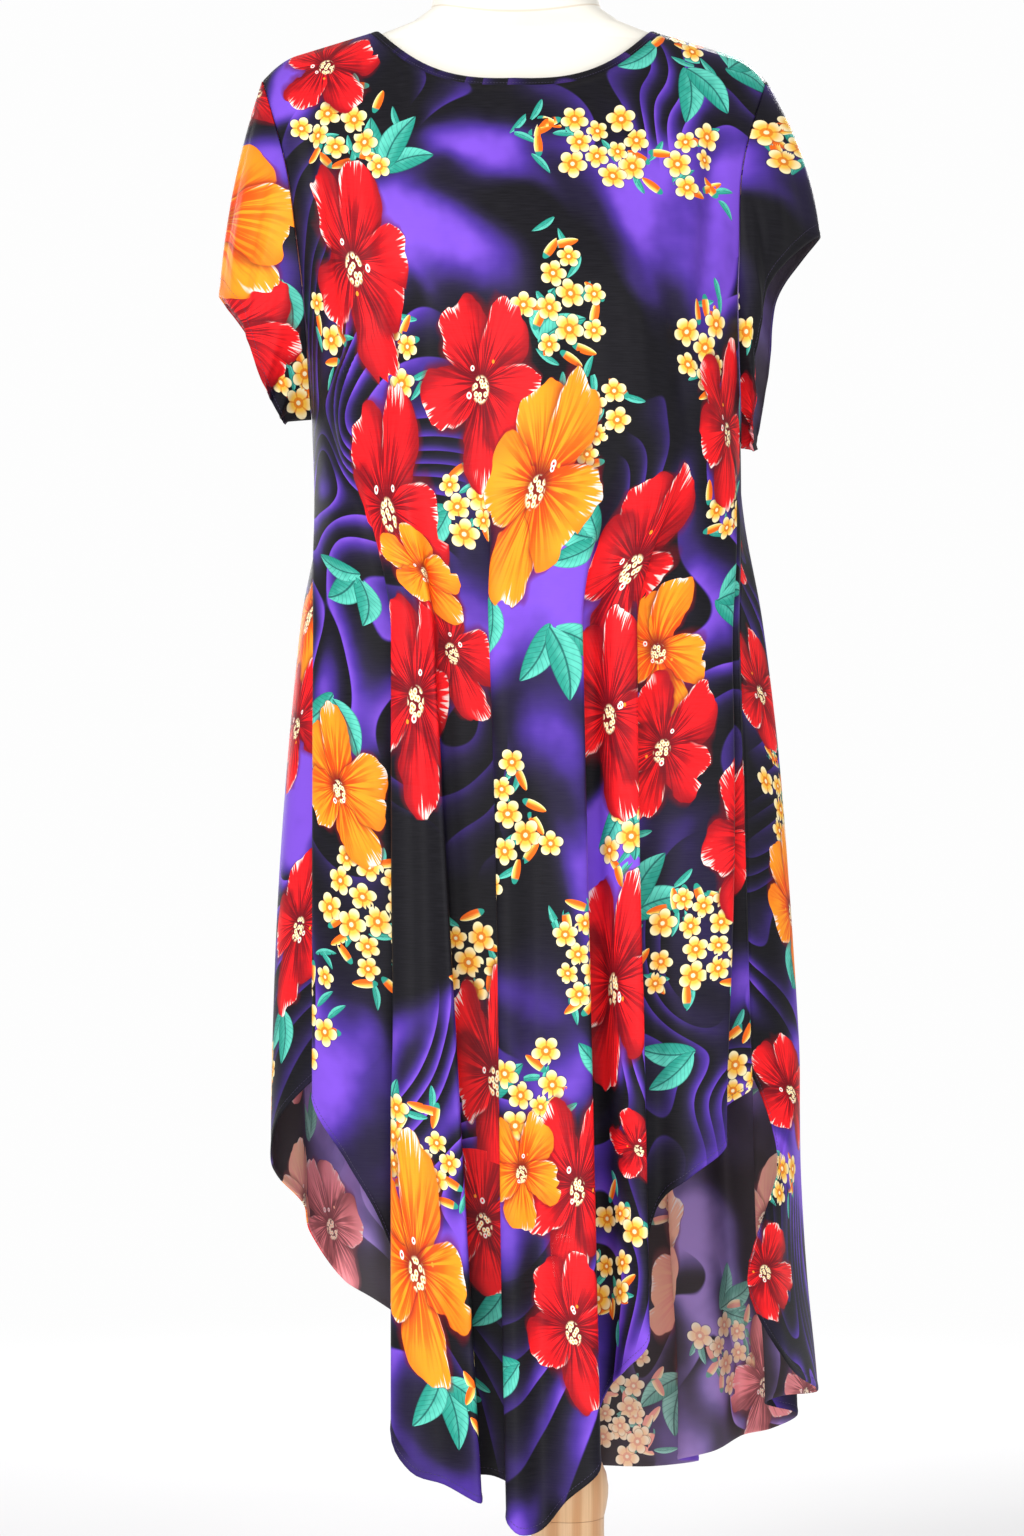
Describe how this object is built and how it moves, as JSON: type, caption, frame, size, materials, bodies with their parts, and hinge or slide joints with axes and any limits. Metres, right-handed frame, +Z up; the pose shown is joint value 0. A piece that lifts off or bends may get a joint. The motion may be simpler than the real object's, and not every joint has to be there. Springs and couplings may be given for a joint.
{
  "type": "beach dress on a dress form",
  "caption": "Loose, flared short-sleeved beach dress with a scoop neck and a dipping, high-sided hem, worn by a limbless dress form on a wooden stand.",
  "frame": {"origin": "centre of the base's underside, on the floor", "axes": "+Z up, -Y the front of the dress, +X the wearer's left"},
  "size_m": [0.4935, 0.4087, 1.5103],
  "materials": {
    "front_cloth": "smooth, soft sheen",
    "back_cloth": "smooth, soft sheen",
    "right_sleeve_cloth": "smooth, soft sheen",
    "left_sleeve_cloth": "smooth, soft sheen",
    "binding_cloth": "smooth, soft sheen",
    "form_jersey": "smooth, soft sheen",
    "cap_jersey": "smooth, soft sheen",
    "post_upper_wood": "satin",
    "post_collar_wood": "satin",
    "post_lower_wood": "satin",
    "base_wood": "satin"
  },
  "bodies": {
    "root": {"dress_front": "front_cloth", "dress_back": "back_cloth", "sleeve_right": "right_sleeve_cloth", "sleeve_left": "left_sleeve_cloth", "neck_binding": "binding_cloth", "form_torso": "form_jersey", "neck_cap": "cap_jersey", "post_upper": "post_upper_wood", "post_collar": "post_collar_wood", "post_lower": "post_lower_wood", "base": "base_wood"}
  },
  "joints": []
}
